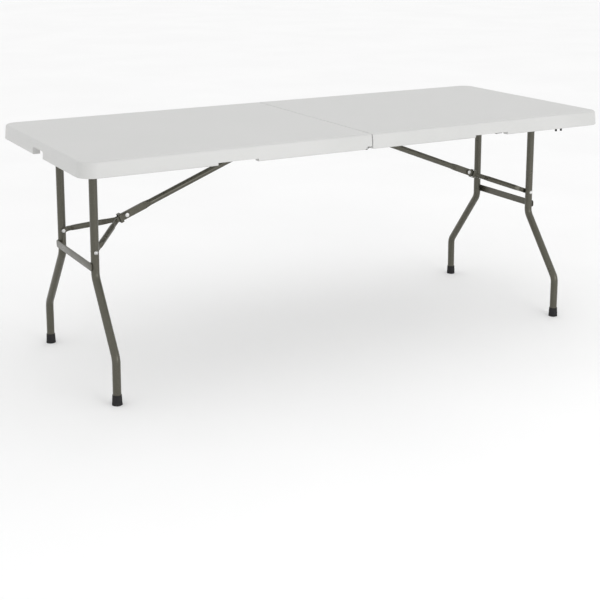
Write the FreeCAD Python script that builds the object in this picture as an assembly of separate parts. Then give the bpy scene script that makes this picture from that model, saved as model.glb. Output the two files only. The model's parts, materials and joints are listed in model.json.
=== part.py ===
import FreeCAD, Part
import math
import os

V = FreeCAD.Vector

# Folding picnic table, in mm. X runs along the length, -Y is the near side, Z is up and the floor is z = 0.
# The origin is on the floor under the centre of the top. The left half is modelled and mirrored to the right.

# Top. The lip flares outwards by FLARE from the top face down to its lower edge.
HALF_LENGTH = 925.0
HALF_WIDTH = 376.0
FLARE = 5.0
SEAM_GAP = 1.0
SEAM_R = 2.5
TOP_Z = 740.0
SLAB_Z = 726.0
LIP_Z = 694.0
LIP = 18.0
SEAM_LIP = 16.0
CORNER_R = 45.0
EDGE_R = 7.0
LIP_EDGE_R = 3.0
GRIP_HALF = 47.0
GRIP_TOP = 717.0
GRIP_R = 9.0

# Rails, L section
RAIL_OUT = 346.0
RAIL_IN = 326.0
RAIL_WALL = 2.0
RAIL_LOW = 695.0
RAIL_X = (-888.0, -17.0)
SCREW_Y = 335.0
SCREW_X = (-860.0, -700.0, -540.0, -330.0, -120.0)
SCREW_HEAD_Z = 722.0
BRACKET_SCREW_X = -50.0
BRACKET_SCREW_Z = 720.0
SCREW_TIP_Z = 734.0
SCREW_HEAD_R = 5.0
SCREW_HEAD_HIGH = 2.0
SCREW_R = 2.5

# Legs
PIVOT_X = 815.0
PIVOT_Z = 710.0
LEG_R = 12.5
LEG_WALL = 1.5
LEG_Y = 150.0
FOOT_Y = 306.0
BEND_HIGH = 350.0
BEND_LOW = 140.0
BEND_R = 45.0
LEAN = 1.0
RUN_FIT = 0.05
TUBE_END = 352.0
CAP_R = 14.0
CAP_THICK = 3.5
PLUG = 14.0
BAR_Z = 380.0
BAR_HALF = 160.0
BAR_HIGH = 24.0
BAR_THICK = 3.5
SOLE_R = 15.6
FOOT_R = 14.0
FOOT_TOP = 31.0
LEG_END = 6.0
RIVET_R = 3.5
RIVET_HEAD_R = 7.5

# Braces. ARM_DROP is the distance down the leg from its pivot to the arm's rivet.
ARM_DROP = 286.0
ROD_X = 80.0
ROD_R = 6.0
BRACE_R = 10.0
BRACE_FLAT = (7.4, 23.0)
SLEEVE_R = 10.6
SLEEVE_HALF = 18.0
ARM_R = 9.0
ARM_WALL = 1.5
ARM_PLATE = 3.0
ARM_HEIGHT = 16.0
ARM_IN_Y = 5.5
ARM_OUT_Y = 135.5
JOINT_R = 4.0
RING_T = (-27.0, -17.0)
RING_OPEN = (20.7, 25.0)
RING_WALL = 1.9

# Centre hinges
HINGE_Z = 693.5
HINGE_EYE = 8.0
HINGE_PIN_R = 3.0
HINGE_PIN_HEAD_R = 5.5
HINGE_BARREL_R = 6.0
HINGE_PLATE_Z = (722.0, 724.0)
HINGE_PLATE_X = (-70.0, -24.0)
HINGE_RELIEF = 28.0
HINGE_RELIEF_HIGH = 9.0
HINGE_POCKET_Y = (-358.0, -298.0)
HINGE_POCKET_TOP = 716.0

# Handle, on the right half. It lies in under the top and swings out through a relief in the lip.
HANDLE_X = 457.0
HANDLE_ARM = 21.0
HANDLE_WIDE = 125.0
HANDLE_THICK = 7.0
HANDLE_GRIP = 15.0
HANDLE_REACH = 76.0
HANDLE_Y = -352.0
HANDLE_Z = 697.9
HANDLE_CORNER_R = 16.0
HANDLE_GAP_R = 22.0
HANDLE_PIN_R = 2.0
HANDLE_PIN_PAST = 3.0
HANDLE_BRACKET_X = 38.0
RELIEF_HALF = 65.0
RELIEF_TOP = 702.2

# Closing latch, on the right half's near rail
LATCH_X = (746.0, 781.0)
LATCH_Z = (700.0, 716.0)
PRONG_X = (752.5, 774.5)
PRONG_Y = -351.0
PRONG_R = 3.5
PRONG_LOW = 680.5

LEAN_RAD = math.radians(LEAN)
RIVET_X = -PIVOT_X - ARM_DROP * math.sin(LEAN_RAD)
RIVET_Z = PIVOT_Z - ARM_DROP * math.cos(LEAN_RAD)
OPEN_SPAN = math.hypot(RIVET_X + ROD_X, PIVOT_Z - RIVET_Z)
FOLDED_SPAN = PIVOT_X - ARM_DROP - ROD_X
ARM_LENGTH = (OPEN_SPAN - FOLDED_SPAN) / 2
BRACE_LENGTH = (OPEN_SPAN + FOLDED_SPAN) / 2
SLOPE = math.degrees(math.atan2(PIVOT_Z - RIVET_Z, -ROD_X - RIVET_X))
JOINT_X = -ROD_X - BRACE_LENGTH * math.cos(math.radians(SLOPE))
JOINT_Z = PIVOT_Z - BRACE_LENGTH * math.sin(math.radians(SLOPE))


def box(x, y, z):
    """A box from three (low, high) pairs."""
    return Part.makeBox(x[1] - x[0], y[1] - y[0], z[1] - z[0], V(x[0], y[0], z[0]))


def bar(start, end, r):
    """A round bar between two points."""
    return Part.makeCylinder(r, (end - start).Length, start, end - start)


def across(x, z, r, y0, y1):
    """A round bar along Y."""
    return bar(V(x, y0, z), V(x, y1, z), r)


def merge(shapes):
    """One clean solid from shapes that touch or overlap."""
    return shapes[0].fuse(shapes[1:]).removeSplitter()


def lean(shape):
    """Tilt a piece of the left leg set with its leg, foot outwards."""
    shape.rotate(V(-PIVOT_X, 0, PIVOT_Z), V(0, 1, 0), LEAN)
    return shape


def on_brace(shape):
    """Place a shape made about the middle rivet, with +X up the brace, onto the left brace."""
    shape.rotate(V(0, 0, 0), V(0, 1, 0), -SLOPE)
    shape.translate(V(JOINT_X, 0, JOINT_Z))
    return shape


def far(shape):
    return shape.mirror(V(0, 0, 0), V(0, 1, 0))


def right(shape):
    return shape.mirror(V(0, 0, 0), V(1, 0, 0))


def bent_wire(points, r):
    """A path through the points with each inner corner rounded."""
    edges = []
    start = points[0]
    for before, corner, after in zip(points, points[1:], points[2:]):
        back = (before - corner).normalize()
        ahead = (after - corner).normalize()
        half = back.getAngle(ahead) / 2
        reach = r / math.tan(half)
        middle = (back + ahead).normalize() * (r / math.sin(half) - r)
        first = corner + back * reach
        last = corner + ahead * reach
        edges.append(Part.makeLine(start, first))
        edges.append(Part.Arc(first, corner + middle, last).toShape())
        start = last
    edges.append(Part.makeLine(start, points[-1]))
    return Part.Wire(edges)


def sweep(points, bend_r, r):
    """A round bar along a bent path."""
    ring = Part.Wire(Part.makeCircle(r, points[0], points[1] - points[0]))
    return bent_wire(points, bend_r).makePipeShell([ring], True, False)


def wedge(half_start, half_end, length):
    """A slab centred on the X axis whose half-width grows along it."""
    edge = [V(0, half_start, 0), V(length, half_end, 0), V(length, -half_end, 0), V(0, -half_start, 0)]
    slab = Part.Face(Part.makePolygon(edge + edge[:1])).extrude(V(0, 0, 60))
    slab.translate(V(0, 0, -30))
    return slab


def taper(flat_at, round_at, half_high, half_thick, r):
    """The stretch where a round tube is pressed down to a flat end."""
    length = (round_at - flat_at).Length
    cone = Part.makeCone(math.hypot(half_high, half_thick) + 0.2, r, length, V(0, 0, 0), V(1, 0, 0))
    height = wedge(half_high, r + 0.4, length)
    height.rotate(V(0, 0, 0), V(1, 0, 0), 90)
    body = cone.common(wedge(half_thick, r + 0.4, length)).common(height)
    way = round_at - flat_at
    body.rotate(V(0, 0, 0), V(0, 0, 1), math.degrees(math.atan2(way.y, way.x)))
    body.translate(flat_at)
    return body


def strip(points, thick, high):
    """An upright strip following a line in plan, centred on z = 0."""
    left_side = []
    right_side = []
    for i, point in enumerate(points):
        ways = []
        if i > 0:
            ways.append((point - points[i - 1]).normalize())
        if i < len(points) - 1:
            ways.append((points[i + 1] - point).normalize())
        normals = [V(-way.y, way.x, 0) for way in ways]
        total = normals[0] + normals[-1]
        total.normalize()
        out = total * (thick / 2 / total.dot(normals[0]))
        left_side.append(point + out)
        right_side.append(point - out)
    edge = [point - V(0, 0, high / 2) for point in left_side + right_side[::-1]]
    return Part.Face(Part.makePolygon(edge + edge[:1])).extrude(V(0, 0, high))


def screws():
    """Pan-head screws through the rails, and through the hinge brackets near the seam."""
    found = []
    places = [(x, SCREW_HEAD_Z) for x in SCREW_X] + [(BRACKET_SCREW_X, BRACKET_SCREW_Z)]
    for x, low in places:
        seat = low + SCREW_HEAD_HIGH
        for y in (-SCREW_Y, SCREW_Y):
            head = Part.makeCylinder(SCREW_HEAD_R, SCREW_HEAD_HIGH, V(x, y, low))
            shank = Part.makeCylinder(SCREW_R, SCREW_TIP_Z - seat, V(x, y, seat))
            found.append(merge([head, shank]))
    return found


def outline(z, grow):
    """The top's edge in plan at one height: square at the seam, rounded at the outer corners."""
    x = -HALF_LENGTH - grow
    y = HALF_WIDTH + grow
    r = CORNER_R + grow
    slant = r * (1 - math.sqrt(0.5))
    near = Part.Arc(V(x + r, -y, z), V(x + slant, -y + slant, z), V(x, -y + r, z)).toShape()
    away = Part.Arc(V(x, y - r, z), V(x + slant, y - slant, z), V(x + r, y, z)).toShape()
    return Part.Wire([
        Part.makeLine(V(-SEAM_GAP, -y, z), V(x + r, -y, z)),
        near,
        Part.makeLine(V(x, -y + r, z), V(x, y - r, z)),
        away,
        Part.makeLine(V(x + r, y, z), V(-SEAM_GAP, y, z)),
        Part.makeLine(V(-SEAM_GAP, y, z), V(-SEAM_GAP, -y, z)),
    ])


def top_half():
    """A moulded half top: a slab with a deep flared lip all round and pockets for the hinges."""
    body = Part.makeLoft([outline(LIP_Z, FLARE), outline(TOP_Z, 0)], True, True)
    rim = [e for e in body.Edges if e.BoundBox.ZMin > TOP_Z - 0.01 and e.BoundBox.XMin < -2]
    body = body.makeFillet(EDGE_R, rim)
    hem = [e for e in body.Edges if e.BoundBox.ZMax < LIP_Z + 0.01 and e.BoundBox.XMin < -2]
    body = body.makeFillet(LIP_EDGE_R, hem)
    seam = [e for e in body.Edges if e.BoundBox.XMin > -SEAM_GAP - 0.01]
    body = body.makeFillet(SEAM_R, seam)
    inner = box((LIP - HALF_LENGTH, -SEAM_LIP), (LIP - HALF_WIDTH, HALF_WIDTH - LIP), (LIP_Z - 5, SLAB_Z))
    uprights = [e for e in inner.Edges if e.BoundBox.ZLength > 10 and e.BoundBox.XMax < -SEAM_LIP - 1]
    inner = inner.makeFillet(CORNER_R - LIP, uprights)
    body = body.cut(inner)
    pocket = box((-SEAM_LIP - 1, 1), HINGE_POCKET_Y, (LIP_Z - 1, HINGE_POCKET_TOP))
    return body.cut([pocket, far(pocket)] + screws())


def handle_relief():
    """The shallow step in the near lip's lower edge that the handle swings through; both halves have it."""
    x = (-HANDLE_X - RELIEF_HALF, -HANDLE_X + RELIEF_HALF)
    return box(x, (-HALF_WIDTH - FLARE - 1, LIP + 1 - HALF_WIDTH), (690, RELIEF_TOP))


def hinge_relief():
    """The corner cut off the left half's near lip beside the seam, below which the hinge shows."""
    y = -HALF_WIDTH - FLARE - 1
    low = LIP_Z - 1
    high = LIP_Z + HINGE_RELIEF_HIGH
    corner = [V(1, y, low), V(-HINGE_RELIEF, y, low), V(6 - HINGE_RELIEF, y, high), V(1, y, high)]
    return Part.Face(Part.makePolygon(corner + corner[:1])).extrude(V(0, LIP + FLARE + 2, 0))


def end_grip():
    """The hand hold cut up into the lip of the left short end."""
    x = (-HALF_LENGTH - FLARE - 1, LIP - HALF_LENGTH + 1)
    grip = box(x, (-GRIP_HALF, GRIP_HALF), (LIP_Z - 10, GRIP_TOP))
    edges = [e for e in grip.Edges if e.BoundBox.ZMin > GRIP_TOP - 1 and e.BoundBox.XLength > 1]
    return grip.makeFillet(GRIP_R, edges)


def rail(side):
    """An L-section rail with holes for the leg tube, the brace rod and its screws; side is -1 near, 1 far."""
    web = box(RAIL_X, (-RAIL_OUT, RAIL_WALL - RAIL_OUT), (RAIL_LOW, SLAB_Z))
    flange = box(RAIL_X, (-RAIL_OUT, -RAIL_IN), (SLAB_Z - RAIL_WALL, SLAB_Z))
    body = merge([web, flange])
    if side > 0:
        body = far(body)
    pivot = across(-PIVOT_X, PIVOT_Z, LEG_R + RUN_FIT, -360, 360)
    rod = across(-ROD_X, PIVOT_Z, ROD_R, -360, 360)
    return body.cut([pivot, rod] + screws())


def hinge_bracket(outer_ear, inner_ear, eye_gap):
    """A near hinge bracket on the left of the seam: a plate under the rail with two ears down to the pin."""
    start, end = HINGE_PLATE_X
    plate = box(HINGE_PLATE_X, (outer_ear[0], inner_ear[1]), HINGE_PLATE_Z)
    shapes = [plate]
    for ear in (outer_ear, inner_ear):
        y = ear[0]
        edge = [V(start, y, 723), V(end, y, 723), V(-4, y, 700.9), V(-4, y, 686.6)]
        edge += [V(-62, y, 706), V(start, y, 712)]
        cheek = Part.Face(Part.makePolygon(edge + edge[:1])).extrude(V(0, ear[1] - y, 0))
        shapes += [cheek, across(0, HINGE_Z, HINGE_EYE, ear[0], ear[1])]
    if eye_gap:
        shapes.append(across(0, HINGE_Z, HINGE_BARREL_R, outer_ear[0], inner_ear[1]))
    body = merge(shapes)
    hole = across(0, HINGE_Z, HINGE_PIN_R + eye_gap, -360, -290)
    return body.cut([hole] + screws())


def hinge_pin():
    """The near hinge pin with a head at each end."""
    return merge([
        across(0, HINGE_Z, HINGE_PIN_R, -344, -304),
        across(0, HINGE_Z, HINGE_PIN_HEAD_R, -346, -344),
        across(0, HINGE_Z, HINGE_PIN_HEAD_R, -304, -302),
    ])


def brace_rod():
    return across(-ROD_X, PIVOT_Z, ROD_R, -350, 350)


def rod_collars():
    """Two collars that keep the brace in the middle of its rod."""
    found = []
    for side in (-1, 1):
        ends = sorted([side * (SLEEVE_HALF + 0.4), side * (SLEEVE_HALF + 6.4)])
        collar = across(-ROD_X, PIVOT_Z, 9.5, ends[0], ends[1])
        found.append(collar.cut(across(-ROD_X, PIVOT_Z, ROD_R, ends[0] - 1, ends[1] + 1)))
    return found


def leg_tube():
    """The tube across the rails that the leg set turns on."""
    outer = across(-PIVOT_X, PIVOT_Z, LEG_R, -TUBE_END, TUBE_END)
    return outer.cut(across(-PIVOT_X, PIVOT_Z, LEG_R - LEG_WALL, -TUBE_END - 1, TUBE_END + 1))


def end_caps():
    """Plastic plugs in the tube's ends, outside the rails."""
    cap = merge([
        across(-PIVOT_X, PIVOT_Z, LEG_R - LEG_WALL, -TUBE_END, PLUG - TUBE_END),
        across(-PIVOT_X, PIVOT_Z, CAP_R, -TUBE_END - CAP_THICK, -TUBE_END),
    ])
    return [cap, far(cap)]


def leg():
    """The near leg: a tube bent out at the knee and down again at the ankle, coped onto the top tube."""
    points = [
        V(-PIVOT_X, -FOOT_Y, LEG_END),
        V(-PIVOT_X, -FOOT_Y, BEND_LOW),
        V(-PIVOT_X, -LEG_Y, BEND_HIGH),
        V(-PIVOT_X, -LEG_Y, PIVOT_Z),
    ]
    body = sweep(points, BEND_R, LEG_R).cut(sweep(points, BEND_R, LEG_R - LEG_WALL))
    body = body.cut(across(-PIVOT_X, PIVOT_Z, LEG_R, -200, -100))
    body = body.cut(across(-PIVOT_X, PIVOT_Z - ARM_DROP, RIVET_R, -200, -100))
    return lean(body)


def foot():
    """A rubber foot pushed over the leg's end and cut level with the floor."""
    cone = Part.makeCone(SOLE_R, FOOT_R, FOOT_TOP + 2, V(-PIVOT_X, -FOOT_Y, -2))
    rim = [e for e in cone.Edges if e.BoundBox.ZMin > FOOT_TOP - 1]
    cone = cone.makeFillet(1.0, rim)
    socket = Part.makeCylinder(LEG_R, FOOT_TOP, V(-PIVOT_X, -FOOT_Y, LEG_END))
    body = lean(cone.cut(socket))
    return body.cut(box((-900, -700), (-400, -200), (-20, 0)))


def cross_bar():
    """The flat bar across the legs' outer faces, with rounded ends."""
    face = -PIVOT_X - LEG_R
    height = (BAR_Z - BAR_HIGH / 2, BAR_Z + BAR_HIGH / 2)
    plate = box((face - BAR_THICK, face), (-BAR_HALF, BAR_HALF), height)
    edges = [e for e in plate.Edges if e.BoundBox.XLength > 1]
    return lean(plate.makeFillet(8.0, edges))


def leg_rivets():
    """The bright rivets through each leg that the brace arms hang on."""
    z = PIVOT_Z - ARM_DROP
    y = LEG_Y
    shank = across(-PIVOT_X, z, RIVET_R, -y - LEG_R, -y + LEG_R)
    head = Part.makeSphere(RIVET_HEAD_R, V(-PIVOT_X, -y - LEG_R + 4.0, z))
    head = head.common(box((-900, -700), (-y - LEG_R - 5, -y - LEG_R), (z - 10, z + 10)))
    rivet = lean(merge([shank, head]))
    return [rivet, far(rivet)]


def upper_brace():
    """The long tube from the rod down to the middle rivet, pressed flat at its lower end."""
    thick, high = BRACE_FLAT
    flat = box((-17, 62), (-thick / 2, thick / 2), (-high / 2, high / 2))
    nose = Part.makeCylinder(high / 2, thick, V(-17, -thick / 2, 0), V(0, 1, 0))
    neck = taper(V(62, 0, 0), V(86, 0, 0), high / 2, thick / 2, BRACE_R)
    tube = bar(V(86, 0, 0), V(BRACE_LENGTH, 0, 0), BRACE_R)
    tube = tube.cut(bar(V(90, 0, 0), V(BRACE_LENGTH, 0, 0), BRACE_R - 1.5))
    sleeve = across(BRACE_LENGTH, 0, SLEEVE_R, -SLEEVE_HALF, SLEEVE_HALF)
    body = merge([flat, nose, neck, tube, sleeve])
    bore = across(BRACE_LENGTH, 0, ROD_R + RUN_FIT, -30, 30)
    hole = across(0, 0, JOINT_R + RUN_FIT, -30, 30)
    return on_brace(body.cut([bore, hole]))


def arm():
    """The near arm of the V: flat against the brace, out along a tube, flat again inside the leg."""
    inner = V(-36, -ARM_IN_Y, 0)
    outer = V(16 - ARM_LENGTH, -ARM_OUT_Y, 0)
    way = (outer - inner).normalize()
    tube_start = inner + way * 48
    tube_end = outer - way * 30
    inner_plate = strip([V(0, -ARM_IN_Y, 0), inner, inner + way * 31], ARM_PLATE, ARM_HEIGHT)
    outer_plate = strip([outer - way * 13, outer, V(-ARM_LENGTH, -ARM_OUT_Y, 0)], ARM_PLATE, ARM_HEIGHT)
    tube = bar(tube_start, tube_end, ARM_R).cut(
        bar(tube_start + way * 2, tube_end - way * 2, ARM_R - ARM_WALL)
    )
    body = merge([
        inner_plate,
        across(0, 0, 9.0, -ARM_IN_Y - ARM_PLATE / 2, -ARM_IN_Y + ARM_PLATE / 2),
        taper(inner + way * 31, tube_start, ARM_HEIGHT / 2, ARM_PLATE / 2, ARM_R),
        tube,
        taper(outer - way * 13, tube_end, ARM_HEIGHT / 2, ARM_PLATE / 2, ARM_R),
        outer_plate,
        across(-ARM_LENGTH, 0, 8.0, -ARM_OUT_Y - ARM_PLATE / 2, -ARM_OUT_Y + ARM_PLATE / 2),
    ])
    return on_brace(body.cut([
        across(0, 0, JOINT_R, -30, 30),
        across(-ARM_LENGTH, 0, RIVET_R, -150, -120),
    ]))


def brace_rivet():
    """The middle rivet, fast in the arms and free in the upper brace."""
    side = ARM_IN_Y + ARM_PLATE / 2
    return on_brace(merge([
        across(0, 0, JOINT_R, -side, side),
        across(0, 0, 6.5, -side - 1, -side),
        across(0, 0, 6.5, side, side + 1),
    ]))


def arm_rivets():
    """The rivet ends in the arms' outer eyes."""
    face = ARM_OUT_Y - ARM_PLATE / 2
    rivet = merge([
        across(-ARM_LENGTH, 0, RIVET_R, -ARM_OUT_Y - ARM_PLATE / 2, -face),
        across(-ARM_LENGTH, 0, 6.0, -face, -face + 2),
    ])
    rivet = on_brace(rivet)
    return [rivet, far(rivet)]


def lock_ring():
    """The ring that slides over the middle joint and keeps the brace straight."""
    wide, high = RING_OPEN
    half_wide = wide / 2 + RING_WALL
    half_high = high / 2 + RING_WALL
    outer = box(RING_T, (-half_wide, half_wide), (-half_high, half_high))
    outer = outer.makeFillet(4.0, [e for e in outer.Edges if e.BoundBox.XLength > 5])
    inner = box((RING_T[0] - 1, RING_T[1] + 1), (-wide / 2, wide / 2), (-high / 2, high / 2))
    inner = inner.makeFillet(2.0, [e for e in inner.Edges if e.BoundBox.XLength > 5])
    return on_brace(outer.cut(inner))


def far_uprights(body):
    """The upright edges at a handle outline's closed end."""
    return [e for e in body.Edges if e.BoundBox.ZLength > 5 and e.BoundBox.YMin > -300]


def handle():
    """A flat U handle, folded in under the top on its pin."""
    half = HANDLE_WIDE / 2
    far_y = HANDLE_Y + HANDLE_REACH
    low = HANDLE_Z - HANDLE_THICK / 2
    high = HANDLE_Z + HANDLE_THICK / 2
    outer = box((HANDLE_X - half, HANDLE_X + half), (HANDLE_Y, far_y), (low, high))
    outer = outer.makeFillet(HANDLE_CORNER_R, far_uprights(outer))
    gap_half = half - HANDLE_ARM
    gap_x = (HANDLE_X - gap_half, HANDLE_X + gap_half)
    gap = box(gap_x, (HANDLE_Y - 10, far_y - HANDLE_GRIP), (low - 1, high + 1))
    gap = gap.makeFillet(HANDLE_GAP_R, far_uprights(gap))
    shapes = [outer.cut(gap)]
    pin_at = V(0, HANDLE_Y, HANDLE_Z)
    for side in (-1, 1):
        x = HANDLE_X + side * (half - HANDLE_ARM / 2)
        start = pin_at + V(x - HANDLE_ARM / 2, 0, 0)
        shapes.append(bar(start, start + V(HANDLE_ARM, 0, 0), HANDLE_THICK / 2))
    body = merge(shapes)
    return body.cut(bar(pin_at + V(300, 0, 0), pin_at + V(600, 0, 0), HANDLE_PIN_R + RUN_FIT))


def handle_pin():
    """The steel pin through both arms of the handle."""
    reach = HANDLE_WIDE / 2 + HANDLE_PIN_PAST
    start = V(HANDLE_X - reach, HANDLE_Y, HANDLE_Z)
    end = V(HANDLE_X + reach, HANDLE_Y, HANDLE_Z)
    return bar(start, end, HANDLE_PIN_R)


def handle_brackets():
    """Two plates between the handle's arms that hold the pin to the rail."""
    found = []
    for side in (-1, 1):
        centre = HANDLE_X + side * HANDLE_BRACKET_X
        plate = box((centre - 1.5, centre + 1.5), (-357.5, -RAIL_OUT), (694.6, SLAB_Z))
        pin = bar(V(300, HANDLE_Y, HANDLE_Z), V(600, HANDLE_Y, HANDLE_Z), HANDLE_PIN_R)
        found.append(plate.cut(pin))
    return found


def rail_notch():
    """Room in the right near rail for the handle."""
    return box((HANDLE_X - RELIEF_HALF, HANDLE_X + RELIEF_HALF), (-347, -343), (690, RELIEF_TOP))


def closing_latch():
    """A black clip on the right near rail with two prongs below the lip."""
    base = box(LATCH_X, (-356, -RAIL_OUT), LATCH_Z)
    base = base.makeFillet(2.0, [e for e in base.Edges if e.BoundBox.YLength > 5])
    shapes = [base]
    for x in PRONG_X:
        prong = Part.makeCylinder(PRONG_R, LATCH_Z[0] + 6 - PRONG_LOW, V(x, PRONG_Y, PRONG_LOW))
        tip = [e for e in prong.Edges if e.BoundBox.ZMax < PRONG_LOW + 1]
        shapes.append(prong.makeFillet(1.0, tip))
    return merge(shapes)


def build():
    """Every piece by name: one solid, or a list for a group of like pieces."""
    pieces = {}
    top = top_half().cut(handle_relief())
    hinge_corners = [hinge_relief(), far(hinge_relief())]
    pieces["left_top"] = top.cut([end_grip()] + hinge_corners)
    pieces["right_top"] = right(top)
    left = {
        "rail_near": rail(-1),
        "rail_far": rail(1),
        "rail_screws": screws(),
        "brace_rod": brace_rod(),
        "rod_collars": rod_collars(),
        "leg_tube": leg_tube(),
        "end_caps": end_caps(),
        "leg_near": leg(),
        "leg_far": far(leg()),
        "cross_bar": cross_bar(),
        "foot_near": foot(),
        "foot_far": far(foot()),
        "leg_rivets": leg_rivets(),
        "upper_brace": upper_brace(),
        "arm_near": arm(),
        "arm_far": far(arm()),
        "brace_rivet": brace_rivet(),
        "arm_rivets": arm_rivets(),
        "lock_ring": lock_ring(),
    }
    for name, shape in left.items():
        group = shape if isinstance(shape, list) else [shape]
        pieces["left_" + name] = group
        pieces["right_" + name] = [right(solid) for solid in group]
    pieces["right_rail_near"] = [pieces["right_rail_near"][0].cut(rail_notch())]
    left_hinge = hinge_bracket((-344, -341.5), (-306.5, -304), 0.0)
    right_hinge = right(hinge_bracket((-340.5, -338), (-310, -307.5), RUN_FIT))
    pieces["left_hinge_near"] = left_hinge
    pieces["left_hinge_far"] = far(left_hinge)
    pieces["right_hinge_near"] = right_hinge
    pieces["right_hinge_far"] = far(right_hinge)
    pieces["hinge_pin_near"] = hinge_pin()
    pieces["hinge_pin_far"] = far(hinge_pin())
    pieces["handle"] = handle()
    pieces["handle_pin"] = handle_pin()
    pieces["handle_brackets"] = handle_brackets()
    pieces["closing_latch"] = closing_latch()
    return pieces


os.makedirs("parts", exist_ok=True)
for name, shape in build().items():
    solids = shape if isinstance(shape, list) else [shape]
    solids = [solid for piece in solids for solid in piece.Solids]
    whole = solids[0] if len(solids) == 1 else Part.makeCompound(solids)
    if not whole.isValid():
        raise ValueError(name + " is not valid")
    whole.exportStep("parts/" + name + ".step")
    print(name, len(solids), round(whole.Volume))
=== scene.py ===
import bmesh
import bpy
import json
import math
from mathutils import Matrix, Vector, noise


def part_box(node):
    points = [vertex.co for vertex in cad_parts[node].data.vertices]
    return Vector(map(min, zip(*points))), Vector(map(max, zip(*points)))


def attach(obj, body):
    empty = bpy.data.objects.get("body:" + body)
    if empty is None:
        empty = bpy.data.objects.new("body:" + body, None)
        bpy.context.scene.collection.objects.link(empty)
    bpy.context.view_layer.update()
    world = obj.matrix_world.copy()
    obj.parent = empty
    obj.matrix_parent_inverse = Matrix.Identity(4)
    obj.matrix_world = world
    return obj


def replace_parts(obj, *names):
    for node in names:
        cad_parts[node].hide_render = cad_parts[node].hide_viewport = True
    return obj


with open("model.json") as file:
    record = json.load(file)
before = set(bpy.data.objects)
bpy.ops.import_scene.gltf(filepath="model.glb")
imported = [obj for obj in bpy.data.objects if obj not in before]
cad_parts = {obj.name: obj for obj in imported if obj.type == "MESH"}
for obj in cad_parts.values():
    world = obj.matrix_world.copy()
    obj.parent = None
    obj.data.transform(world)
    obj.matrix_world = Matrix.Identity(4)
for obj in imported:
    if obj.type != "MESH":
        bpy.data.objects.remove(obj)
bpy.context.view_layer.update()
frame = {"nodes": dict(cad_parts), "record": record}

# A white folding table. Everything is in metres, in the CAD's own frame.
SIDES = {"left": -1.0, "right": 1.0}

# Mesh work
WELD_DISTANCE = 2e-6
FLAT_ANGLE = math.radians(0.5)
SMOOTH_ANGLE = math.radians(32)
BEVEL_ANGLE = math.radians(40)
BEVEL_SEGMENTS = 3

# Places read from the CAD
TUBE_LOW, TUBE_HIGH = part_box("left_leg_tube")
TUBE_R = (TUBE_HIGH.z - TUBE_LOW.z) / 2
PIVOT_X = -(TUBE_LOW.x + TUBE_HIGH.x) / 2
PIVOT_Z = (TUBE_LOW.z + TUBE_HIGH.z) / 2
TOP_LOW, TOP_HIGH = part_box("left_top")
SLAB_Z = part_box("left_rail_near")[1].z

# The legs' tops stand this far each side of the middle
LEG_Y = 0.150

# Camera of the main view
CAMERA_AT = (-1.9583, -3.3936, 1.3731)
CAMERA_HEADING = math.radians(29.468)
CAMERA_DOWN = math.radians(15.096)
CAMERA_ROLL = math.radians(0.029)
LENS = 71.56
SENSOR_WIDTH = 36.0
SHIFT_Y = -0.0995


# Materials

# Where the two tones start and end on a texture's 0 to 1 range
TONE_START = 0.35
TONE_STOP = 0.65
ROUGH_START = 0.3
ROUGH_STOP = 0.7


def shader(name, color, roughness, metallic=0.0):
    """A new material and its principled shader."""
    material = bpy.data.materials.new(name)
    material.use_nodes = True
    main = material.node_tree.nodes["Principled BSDF"]
    main.inputs["Base Color"].default_value = (*color, 1.0)
    main.inputs["Roughness"].default_value = roughness
    main.inputs["Metallic"].default_value = metallic
    return material, main


def texture(material, kind, scale, detail=2.0, stretch=(1.0, 1.0, 1.0)):
    """A procedural texture in object space, where one unit is a metre."""
    nodes = material.node_tree.nodes
    links = material.node_tree.links
    place = nodes.new("ShaderNodeTexCoord")
    mapping = nodes.new("ShaderNodeMapping")
    mapping.inputs["Scale"].default_value = stretch
    pattern = nodes.new(kind)
    pattern.inputs["Scale"].default_value = scale
    if "Detail" in pattern.inputs:
        pattern.inputs["Detail"].default_value = detail
    links.new(place.outputs["Object"], mapping.inputs["Vector"])
    links.new(mapping.outputs["Vector"], pattern.inputs["Vector"])
    return pattern.outputs["Distance" if kind == "ShaderNodeTexVoronoi" else "Fac"]


def vary_color(material, main, source, dark, light):
    """Base colour that drifts between two tones."""
    ramp = material.node_tree.nodes.new("ShaderNodeValToRGB")
    ramp.color_ramp.elements[0].position = TONE_START
    ramp.color_ramp.elements[0].color = (*dark, 1.0)
    ramp.color_ramp.elements[1].position = TONE_STOP
    ramp.color_ramp.elements[1].color = (*light, 1.0)
    material.node_tree.links.new(source, ramp.inputs["Fac"])
    material.node_tree.links.new(ramp.outputs["Color"], main.inputs["Base Color"])


def vary_roughness(material, main, source, low, high):
    """Roughness that drifts between two values."""
    spread = material.node_tree.nodes.new("ShaderNodeMapRange")
    spread.inputs["From Min"].default_value = ROUGH_START
    spread.inputs["From Max"].default_value = ROUGH_STOP
    spread.inputs["To Min"].default_value = low
    spread.inputs["To Max"].default_value = high
    material.node_tree.links.new(source, spread.inputs["Value"])
    material.node_tree.links.new(spread.outputs["Result"], main.inputs["Roughness"])


def bumps(material, main, layers):
    """Stacked bump layers, each (height source, strength, depth in metres)."""
    before = None
    for source, strength, depth in layers:
        bump = material.node_tree.nodes.new("ShaderNodeBump")
        bump.inputs["Strength"].default_value = strength
        bump.inputs["Distance"].default_value = depth
        material.node_tree.links.new(source, bump.inputs["Height"])
        if before:
            material.node_tree.links.new(before, bump.inputs["Normal"])
        before = bump.outputs["Normal"]
    material.node_tree.links.new(before, main.inputs["Normal"])


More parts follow.
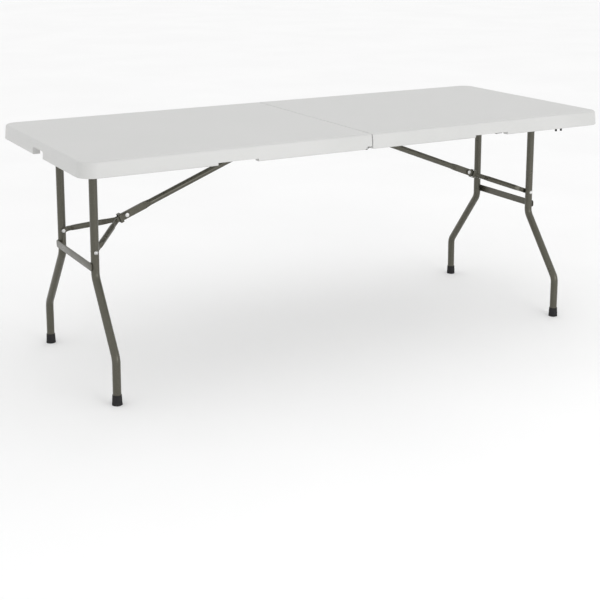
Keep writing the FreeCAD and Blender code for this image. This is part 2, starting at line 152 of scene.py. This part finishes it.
def white_plastic():
    """Blow-moulded polyethylene: a fine pebble skin over a faintly wavy wall."""
    material, main = shader("moulded_white", (0.57, 0.57, 0.56), 0.42)
    main.inputs["Subsurface Weight"].default_value = 0.06
    main.inputs["Subsurface Radius"].default_value = (0.004, 0.004, 0.0035)
    main.inputs["Specular IOR Level"].default_value = 0.45
    clouds = texture(material, "ShaderNodeTexNoise", 5.0, 4.0)
    pebble = texture(material, "ShaderNodeTexVoronoi", 520.0)
    grain = texture(material, "ShaderNodeTexNoise", 1400.0, 3.0)
    wave = texture(material, "ShaderNodeTexNoise", 9.0, 1.0)
    vary_color(material, main, clouds, (0.556, 0.558, 0.547), (0.584, 0.584, 0.575))
    vary_roughness(material, main, clouds, 0.38, 0.47)
    bumps(material, main, [(wave, 0.25, 0.0012), (pebble, 0.32, 0.0003), (grain, 0.18, 0.00012)])
    return material


def powder_coat():
    """Warm grey powder coat on steel, satin with a slight orange peel."""
    material, main = shader("bronze_powder_coat", (0.086, 0.082, 0.062), 0.30, 0.45)
    main.inputs["Coat Weight"].default_value = 0.15
    main.inputs["Coat Roughness"].default_value = 0.25
    speckle = texture(material, "ShaderNodeTexNoise", 950.0, 2.0)
    cloud = texture(material, "ShaderNodeTexNoise", 16.0, 3.0)
    peel = texture(material, "ShaderNodeTexNoise", 330.0, 2.0)
    vary_color(material, main, speckle, (0.068, 0.065, 0.048), (0.104, 0.099, 0.076))
    vary_roughness(material, main, cloud, 0.27, 0.38)
    bumps(material, main, [(peel, 0.35, 0.00025), (speckle, 0.2, 0.0001)])
    return material


def zinc():
    """Bright zinc plate with drawn streaks and cloudy passivation."""
    material, main = shader("zinc_plate", (0.62, 0.62, 0.63), 0.28, 1.0)
    cloud = texture(material, "ShaderNodeTexNoise", 60.0, 4.0)
    streak = texture(material, "ShaderNodeTexNoise", 700.0, 2.0, (0.08, 1.0, 1.0))
    vary_color(material, main, cloud, (0.50, 0.505, 0.51), (0.68, 0.675, 0.66))
    vary_roughness(material, main, cloud, 0.22, 0.40)
    bumps(material, main, [(streak, 0.2, 0.0001)])
    return material


def rubber():
    """Matt black rubber, a little dusty."""
    material, main = shader("black_rubber", (0.011, 0.011, 0.012), 0.72)
    main.inputs["Specular IOR Level"].default_value = 0.35
    dust = texture(material, "ShaderNodeTexNoise", 85.0, 5.0)
    skin = texture(material, "ShaderNodeTexNoise", 1600.0, 2.0)
    vary_color(material, main, dust, (0.008, 0.008, 0.009), (0.019, 0.018, 0.018))
    vary_roughness(material, main, dust, 0.64, 0.82)
    bumps(material, main, [(skin, 0.3, 0.00015)])
    return material


def black_plastic():
    """Black moulded plastic with a fine spark-eroded texture."""
    material, main = shader("black_plastic", (0.014, 0.014, 0.015), 0.46)
    cloud = texture(material, "ShaderNodeTexNoise", 40.0, 3.0)
    spark = texture(material, "ShaderNodeTexVoronoi", 1100.0)
    vary_color(material, main, cloud, (0.012, 0.012, 0.013), (0.020, 0.020, 0.021))
    vary_roughness(material, main, cloud, 0.40, 0.54)
    bumps(material, main, [(spark, 0.3, 0.00015)])
    return material


MATERIALS = {
    "white_plastic": white_plastic(),
    "bronze_steel": powder_coat(),
    "zinc_steel": zinc(),
    "black_rubber": rubber(),
    "black_plastic": black_plastic(),
}
NODE_SLOT = {entry["node"]: entry["material_slot"] for entry in frame["record"]["subparts"]}
NODE_BODY = {
    node: body
    for body, members in frame["record"]["behaviour"]["bodies"].items()
    for node in members
}


def paint_cad_nodes():
    """Every CAD node gets the finished material of its slot."""
    for name, node in frame["nodes"].items():
        node.data.materials.clear()
        node.data.materials.append(MATERIALS[NODE_SLOT[name]])


# Mesh helpers

BEAD_SIDES = 8
BEAD_RIPPLE = 0.16
BEAD_PITCH = 2.1
BEAD_NOISE = 0.22
BEAD_NOISE_SCALE = 160


def link(name, mesh, slot, body):
    """A finished piece: in the scene, painted, smooth where it is round, and riding on its body."""
    piece = bpy.data.objects.new(name, mesh)
    bpy.context.scene.collection.objects.link(piece)
    mesh.materials.clear()
    mesh.materials.append(MATERIALS[slot])
    mesh.shade_smooth()
    mesh.set_sharp_from_angle(angle=SMOOTH_ANGLE)
    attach(piece, body)
    return piece


def welded_copy(node):
    """The CAD node's mesh with its faces joined up and flat areas merged into single faces."""
    mesh = frame["nodes"][node].data.copy()
    work = bmesh.new()
    work.from_mesh(mesh)
    bmesh.ops.remove_doubles(work, verts=work.verts, dist=WELD_DISTANCE)
    bmesh.ops.dissolve_limit(work, angle_limit=FLAT_ANGLE, verts=work.verts, edges=work.edges)
    work.to_mesh(mesh)
    work.free()
    return mesh


def apply_modifiers(mesh, add):
    """The mesh after the modifiers that add() puts on it."""
    holder = bpy.data.objects.new("work", mesh)
    bpy.context.scene.collection.objects.link(holder)
    add(holder)
    bpy.context.view_layer.update()
    seen = holder.evaluated_get(bpy.context.evaluated_depsgraph_get())
    result = bpy.data.meshes.new_from_object(seen)
    bpy.data.objects.remove(holder)
    return result


def softened(node, width):
    """A piece that stands for a CAD node, with its sharp edges rounded off."""

    def round_edges(holder):
        bevel = holder.modifiers.new("round", "BEVEL")
        bevel.width = width
        bevel.segments = BEVEL_SEGMENTS
        bevel.limit_method = "ANGLE"
        bevel.angle_limit = BEVEL_ANGLE
        bevel.harden_normals = False

    mesh = apply_modifiers(welded_copy(node), round_edges)
    piece = link(node + "_finished", mesh, NODE_SLOT[node], NODE_BODY[node])
    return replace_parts(piece, node)


def islands(node):
    """The centre of each separate solid in a CAD node, with its lowest point."""
    work = bmesh.new()
    work.from_mesh(frame["nodes"][node].data)
    bmesh.ops.remove_doubles(work, verts=work.verts, dist=WELD_DISTANCE)
    unseen = set(work.verts)
    found = []
    while unseen:
        stack = [unseen.pop()]
        group = []
        while stack:
            vert = stack.pop()
            group.append(vert.co.copy())
            for edge in vert.link_edges:
                other = edge.other_vert(vert)
                if other in unseen:
                    unseen.remove(other)
                    stack.append(other)
        centre = sum(group, Vector()) / len(group)
        found.append((centre, min(point.z for point in group)))
    work.free()
    return found


def lathe(work, profile, centre, steps):
    """Turns a profile of (radius, height) points about a vertical axis."""
    rings = []
    for radius, height in profile:
        ring = []
        for step in range(steps):
            turn = 2 * math.pi * step / steps
            at = centre + Vector((radius * math.cos(turn), radius * math.sin(turn), height))
            ring.append(work.verts.new(at))
        rings.append(ring)
    for low, high in zip(rings, rings[1:]):
        for step in range(steps):
            after = (step + 1) % steps
            work.faces.new((low[step], low[after], high[after], high[step]))
    work.faces.new(rings[0][::-1])
    work.faces.new(rings[-1])


def bead(work, path, radius, seed):
    """A closed, slightly uneven weld bead along a ring of points."""
    count = len(path)
    rings = []
    for i, point in enumerate(path):
        ahead = (path[(i + 1) % count] - path[i - 1]).normalized()
        side = ahead.cross(Vector((0, 0, 1)))
        side = side.normalized() if side.length > 1e-6 else Vector((1, 0, 0))
        up = side.cross(ahead).normalized()
        even = BEAD_RIPPLE * math.sin(i * BEAD_PITCH)
        uneven = BEAD_NOISE * noise.noise(point * BEAD_NOISE_SCALE + Vector((seed, 0, 0)))
        ripple = 1.0 + even + uneven
        ring = []
        for step in range(BEAD_SIDES):
            turn = 2 * math.pi * step / BEAD_SIDES
            offset = side * math.cos(turn) + up * math.sin(turn)
            ring.append(work.verts.new(point + offset * radius * ripple))
        rings.append(ring)
    for i in range(count):
        here, there = rings[i], rings[(i + 1) % count]
        for step in range(BEAD_SIDES):
            after = (step + 1) % BEAD_SIDES
            work.faces.new((here[step], here[after], there[after], there[step]))


def to_mesh(work, name):
    """A mesh from the work in hand, with its faces pointing outwards."""
    bmesh.ops.recalc_face_normals(work, faces=work.faces)
    mesh = bpy.data.meshes.new(name)
    work.to_mesh(mesh)
    work.free()
    return mesh


# The moulded tops

DIMPLE_PITCH = 0.0625
DIMPLE_MOUTH = 0.0165
DIMPLE_FLOOR = 0.0085
DIMPLE_DEPTH = 0.0085
DIMPLE_PAST = 0.001
DIMPLE_ROUND = 0.0012
DIMPLE_SIDES = 20
DIMPLE_MARGIN_X = 0.060
DIMPLE_HALF_Y = 0.300


def dimple_cutter(sign):
    """The cones that press the underside up towards the top skin, in an even grid."""
    work = bmesh.new()
    columns = int((TOP_HIGH.x - TOP_LOW.x - 2 * DIMPLE_MARGIN_X) / DIMPLE_PITCH) + 1
    rows = int(2 * DIMPLE_HALF_Y / DIMPLE_PITCH) + 1
    profile = [
        (DIMPLE_MOUTH + DIMPLE_PAST, -DIMPLE_PAST),
        (DIMPLE_MOUTH, 0.0),
        (DIMPLE_FLOOR + DIMPLE_ROUND, DIMPLE_DEPTH - DIMPLE_ROUND),
        (DIMPLE_FLOOR, DIMPLE_DEPTH),
    ]
    for column in range(columns):
        x = sign * (DIMPLE_MARGIN_X + column * DIMPLE_PITCH)
        for row in range(rows):
            y = (row - (rows - 1) / 2) * DIMPLE_PITCH
            lathe(work, profile, Vector((x, y, SLAB_Z)), DIMPLE_SIDES)
    return to_mesh(work, "dimples")


def moulded_top(side, sign):
    """The top half with its real underside: rows of tack-off dimples between the rails."""
    cutter = bpy.data.objects.new("cutter", dimple_cutter(sign))
    bpy.context.scene.collection.objects.link(cutter)

    def press(holder):
        cut = holder.modifiers.new("dimples", "BOOLEAN")
        cut.operation = "DIFFERENCE"
        cut.solver = "EXACT"
        cut.object = cutter

    mesh = apply_modifiers(welded_copy(side + "_top"), press)
    bpy.data.objects.remove(cutter)
    piece = link(side + "_moulded_top", mesh, "white_plastic", side + "_half")
    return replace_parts(piece, side + "_top")


# Fasteners

SCREW_HEAD_R = 0.005
SCREW_HEAD_HIGH = 0.0020
SCREW_SHANK_R = 0.0025
SCREW_LONG = 0.0115
SCREW_SIDES = 24
CROSS_LONG = 0.0031
CROSS_WIDE = 0.0009
CROSS_DEEP = 0.0011


def cross_cutter(places):
    """The cross recesses of the screw heads."""
    work = bmesh.new()
    for centre, low in places:
        for size in ((CROSS_LONG, CROSS_WIDE), (CROSS_WIDE, CROSS_LONG)):
            spread = Matrix.Diagonal((2 * size[0], 2 * size[1], 2 * CROSS_DEEP, 1))
            shift = Matrix.Translation((centre.x, centre.y, low))
            bmesh.ops.create_cube(work, size=1.0, matrix=shift @ spread)
    return to_mesh(work, "crosses")


def rail_screws(side):
    """Pan-head screws with cross recesses, where the CAD has its plain ones."""
    node = side + "_rail_screws"
    places = islands(node)
    profile = [
        (0.0030, 0.0),
        (0.0042, 0.0003),
        (0.0048, 0.0009),
        (SCREW_HEAD_R, 0.0016),
        (SCREW_HEAD_R, SCREW_HEAD_HIGH),
        (SCREW_SHANK_R, SCREW_HEAD_HIGH),
        (SCREW_SHANK_R, SCREW_LONG),
    ]
    work = bmesh.new()
    for centre, low in places:
        lathe(work, profile, Vector((centre.x, centre.y, low)), SCREW_SIDES)
    cutter = bpy.data.objects.new("cutter", cross_cutter(places))
    bpy.context.scene.collection.objects.link(cutter)

    def recess(holder):
        cut = holder.modifiers.new("cross", "BOOLEAN")
        cut.operation = "DIFFERENCE"
        cut.solver = "EXACT"
        cut.use_self = True
        cut.object = cutter

    mesh = apply_modifiers(to_mesh(work, node), recess)
    bpy.data.objects.remove(cutter)
    piece = link(side + "_cross_screws", mesh, "zinc_steel", side + "_half")
    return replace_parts(piece, node)


# Welds

LEG_BEAD_R = 0.0015
LEG_BEAD_STEPS = 44
LEG_BEAD_SPREAD = 1.03
LEG_BEAD_DROP = 0.0004
BAR_BEAD_R = 0.0012
BAR_BEAD_STEPS = 20
BAR_BEAD_HALF = 0.0045
BAR_BEAD_RISE = 0.0006


def leg_welds(side, sign):
    """The beads where the two legs are coped onto the top tube."""
    work = bmesh.new()
    for seed, y in enumerate((-LEG_Y, LEG_Y)):
        path = []
        for step in range(LEG_BEAD_STEPS):
            turn = 2 * math.pi * step / LEG_BEAD_STEPS
            x = TUBE_R * math.cos(turn)
            across = TUBE_R * math.sin(turn)
            drop = math.sqrt(max(TUBE_R ** 2 - x ** 2, 0.0)) + LEG_BEAD_DROP
            at_x = sign * PIVOT_X + x * LEG_BEAD_SPREAD
            path.append(Vector((at_x, y + across * LEG_BEAD_SPREAD, PIVOT_Z - drop)))
        bead(work, path, LEG_BEAD_R, seed + sign)
    return link(side + "_leg_welds", to_mesh(work, "welds"), "bronze_steel", side + "_leg_set")


def bar_welds(side):
    """Short beads along the cross bar where it lies on each leg."""
    low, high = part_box(side + "_cross_bar")
    leg_face = low.x if side == "right" else high.x
    work = bmesh.new()
    for y in (-LEG_Y, LEG_Y):
        for z in (low.z, high.z):
            path = []
            for step in range(BAR_BEAD_STEPS):
                turn = 2 * math.pi * step / BAR_BEAD_STEPS
                at_y = y + BAR_BEAD_HALF * math.cos(turn)
                path.append(Vector((leg_face, at_y, z + BAR_BEAD_RISE * math.sin(turn))))
            bead(work, path, BAR_BEAD_R, y + z)
    return link(side + "_bar_welds", to_mesh(work, "bar_welds"), "bronze_steel", side + "_leg_set")


# The finished pieces

# How far each small piece's edges are rounded
SOFT_EDGES = {
    "handle": 0.0026,
    "closing_latch": 0.0008,
    "handle_brackets": 0.0004,
    "left_lock_ring": 0.0006,
    "right_lock_ring": 0.0006,
    "left_cross_bar": 0.0011,
    "right_cross_bar": 0.0011,
    "left_end_caps": 0.0010,
    "right_end_caps": 0.0010,
    "left_rod_collars": 0.0009,
    "right_rod_collars": 0.0009,
    "left_hinge_near": 0.0005,
    "left_hinge_far": 0.0005,
    "right_hinge_near": 0.0005,
    "right_hinge_far": 0.0005,
    "hinge_pin_near": 0.0006,
    "hinge_pin_far": 0.0006,
    "left_brace_rivet": 0.0004,
    "right_brace_rivet": 0.0004,
    "left_arm_rivets": 0.0005,
    "right_arm_rivets": 0.0005,
}

paint_cad_nodes()
for side, sign in SIDES.items():
    moulded_top(side, sign)
    rail_screws(side)
    leg_welds(side, sign)
    bar_welds(side)
for node, width in SOFT_EDGES.items():
    softened(node, width)


# Floor, light and camera

FLOOR_HALF = 30.0
WORLD_STRENGTH = 1.0


def floor():
    """A large pale floor with a faint mottle."""
    work = bmesh.new()
    bmesh.ops.create_grid(work, x_segments=8, y_segments=8, size=FLOOR_HALF)
    mesh = to_mesh(work, "floor")
    if mesh.polygons[0].normal.z < 0:
        mesh.flip_normals()
    material, main = shader("floor_paint", (0.95, 0.95, 0.95), 0.85)
    clouds = texture(material, "ShaderNodeTexNoise", 1.2, 3.0)
    vary_color(material, main, clouds, (0.94, 0.94, 0.94), (0.96, 0.96, 0.96))
    mesh.materials.append(material)
    ground = bpy.data.objects.new("floor", mesh)
    bpy.context.scene.collection.objects.link(ground)


def area_light(name, at, aim, size, power):
    """A rectangular light at one point, facing another."""
    light = bpy.data.lights.new(name, "AREA")
    light.shape = "RECTANGLE"
    light.size = size[0]
    light.size_y = size[1]
    light.energy = power
    lamp = bpy.data.objects.new(name, light)
    bpy.context.scene.collection.objects.link(lamp)
    lamp.location = at
    lamp.rotation_euler = (Vector(aim) - Vector(at)).to_track_quat("-Z", "Y").to_euler()


def studio():
    """Even white surroundings, a low front key for the lip and a soft side fill."""
    world = bpy.data.worlds.new("studio")
    bpy.context.scene.world = world
    world.use_nodes = True
    background = world.node_tree.nodes["Background"]
    background.inputs["Color"].default_value = (1.0, 1.0, 1.0, 1.0)
    background.inputs["Strength"].default_value = WORLD_STRENGTH
    area_light("key", (0.9, -4.4, 1.5), (0.2, 0, 0.65), (2.2, 1.2), 42.0)
    area_light("fill", (-4.0, -1.6, 1.8), (-0.3, 0, 0.5), (2.0, 1.8), 2.0)
    bpy.context.scene.view_settings.view_transform = "Standard"


def camera():
    """The camera of the main view."""
    lens = bpy.data.cameras.new("camera")
    lens.lens = LENS
    lens.sensor_width = SENSOR_WIDTH
    lens.shift_y = SHIFT_Y
    eye = bpy.data.objects.new("camera", lens)
    bpy.context.scene.collection.objects.link(eye)
    turn = Matrix.Rotation(-CAMERA_HEADING, 4, "Z")
    tilt = Matrix.Rotation(math.pi / 2 - CAMERA_DOWN, 4, "X")
    roll = Matrix.Rotation(CAMERA_ROLL, 4, "Z")
    eye.matrix_world = Matrix.Translation(CAMERA_AT) @ turn @ tilt @ roll
    bpy.context.scene.camera = eye


floor()
studio()
camera()
